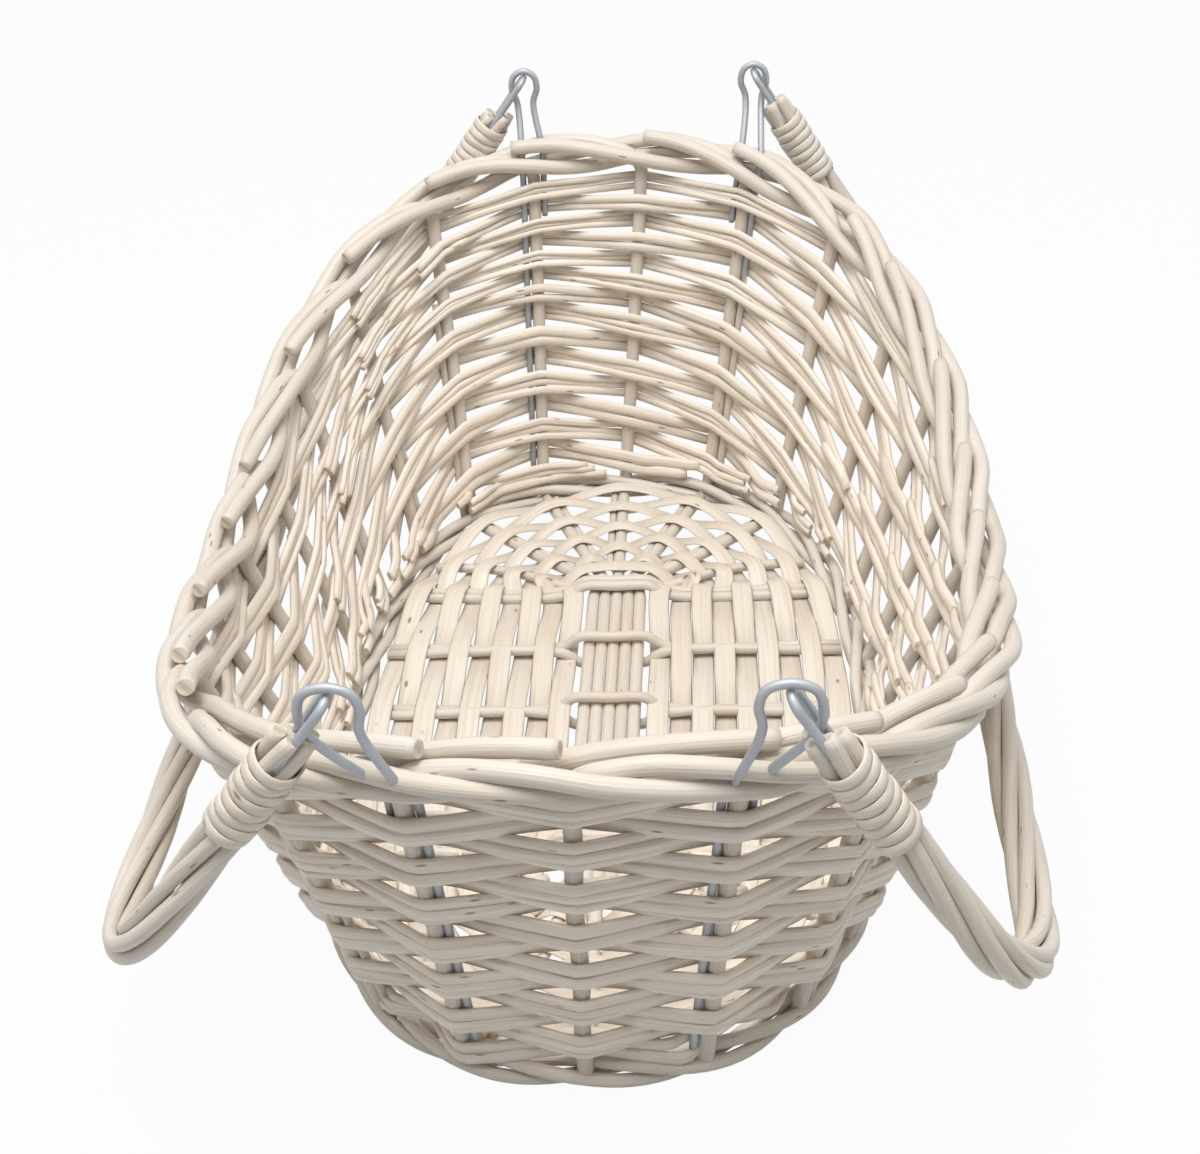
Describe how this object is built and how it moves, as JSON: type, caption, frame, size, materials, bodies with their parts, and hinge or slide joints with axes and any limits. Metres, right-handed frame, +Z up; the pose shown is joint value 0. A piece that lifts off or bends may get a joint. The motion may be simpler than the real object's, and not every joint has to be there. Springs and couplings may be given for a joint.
{
  "type": "willow basket",
  "caption": "Oval willow basket with a saddle-shaped rim, slanting woven sides and a woven base, and a drop handle on each long side hung in wire loops.",
  "frame": {"origin": "centre of the base, on the surface that the basket stands on", "axes": "+Z up, +Y along the basket's length towards the far end of the picture, +X to the right across its width"},
  "size_m": [0.3439, 0.5182, 0.2255],
  "materials": {
    "willow": "satin",
    "peeled skein": "satin",
    "zinc wire": "galvanised"
  },
  "bodies": {
    "basket": {"stake_01": "willow", "stake_02": "willow", "stake_03": "willow", "stake_04": "willow", "stake_05": "willow", "stake_06": "willow", "stake_07": "willow", "stake_08": "willow", "stake_09": "willow", "stake_10": "willow", "stake_11": "willow", "stake_12": "willow", "stake_13": "willow", "stake_14": "willow", "stake_15": "willow", "stake_16": "willow", "stake_17": "willow", "stake_18": "willow", "stake_19": "willow", "stake_20": "willow", "stake_21": "willow", "stake_22": "willow", "stake_23": "willow", "stake_24": "willow", "siding_row_01": "willow", "siding_row_02": "willow", "siding_row_03": "willow", "siding_row_04": "willow", "siding_row_05": "willow", "siding_row_06": "willow", "siding_row_07": "willow", "siding_row_08": "willow", "siding_row_09": "willow", "siding_row_10": "willow", "foot_wale": "willow", "border_rod_1": "willow", "border_rod_2": "willow", "border_rod_3": "willow", "base_long_sticks": "peeled skein", "base_cross_pair_1": "peeled skein", "base_cross_pair_2": "peeled skein", "base_cross_pair_3": "peeled skein", "base_cross_pair_4": "peeled skein", "base_cross_pair_5": "peeled skein", "base_skein": "peeled skein", "rim_wire_front_left": "zinc wire", "rim_wire_front_right": "zinc wire", "rim_wire_rear_left": "zinc wire", "rim_wire_rear_right": "zinc wire"},
    "left_handle": {"left_handle_bow": "willow", "left_handle_eye_front": "zinc wire", "left_handle_binding_front": "peeled skein", "left_handle_eye_rear": "zinc wire", "left_handle_binding_rear": "peeled skein"},
    "right_handle": {"right_handle_bow": "willow", "right_handle_eye_front": "zinc wire", "right_handle_binding_front": "peeled skein", "right_handle_eye_rear": "zinc wire", "right_handle_binding_rear": "peeled skein"}
  },
  "joints": [
    {"name": "left_handle_swing", "type": "hinge", "parent": "basket", "child": "left_handle", "pos_m": [-0.05311, 0, 0.2202], "axis": [0.0397, 0.9992, 0], "range_deg": [0, 159]},
    {"name": "right_handle_swing", "type": "hinge", "parent": "basket", "child": "right_handle", "pos_m": [0.07246, 0, 0.2202], "axis": [0.0056, -1, 0], "range_deg": [0, 164]}
  ]
}
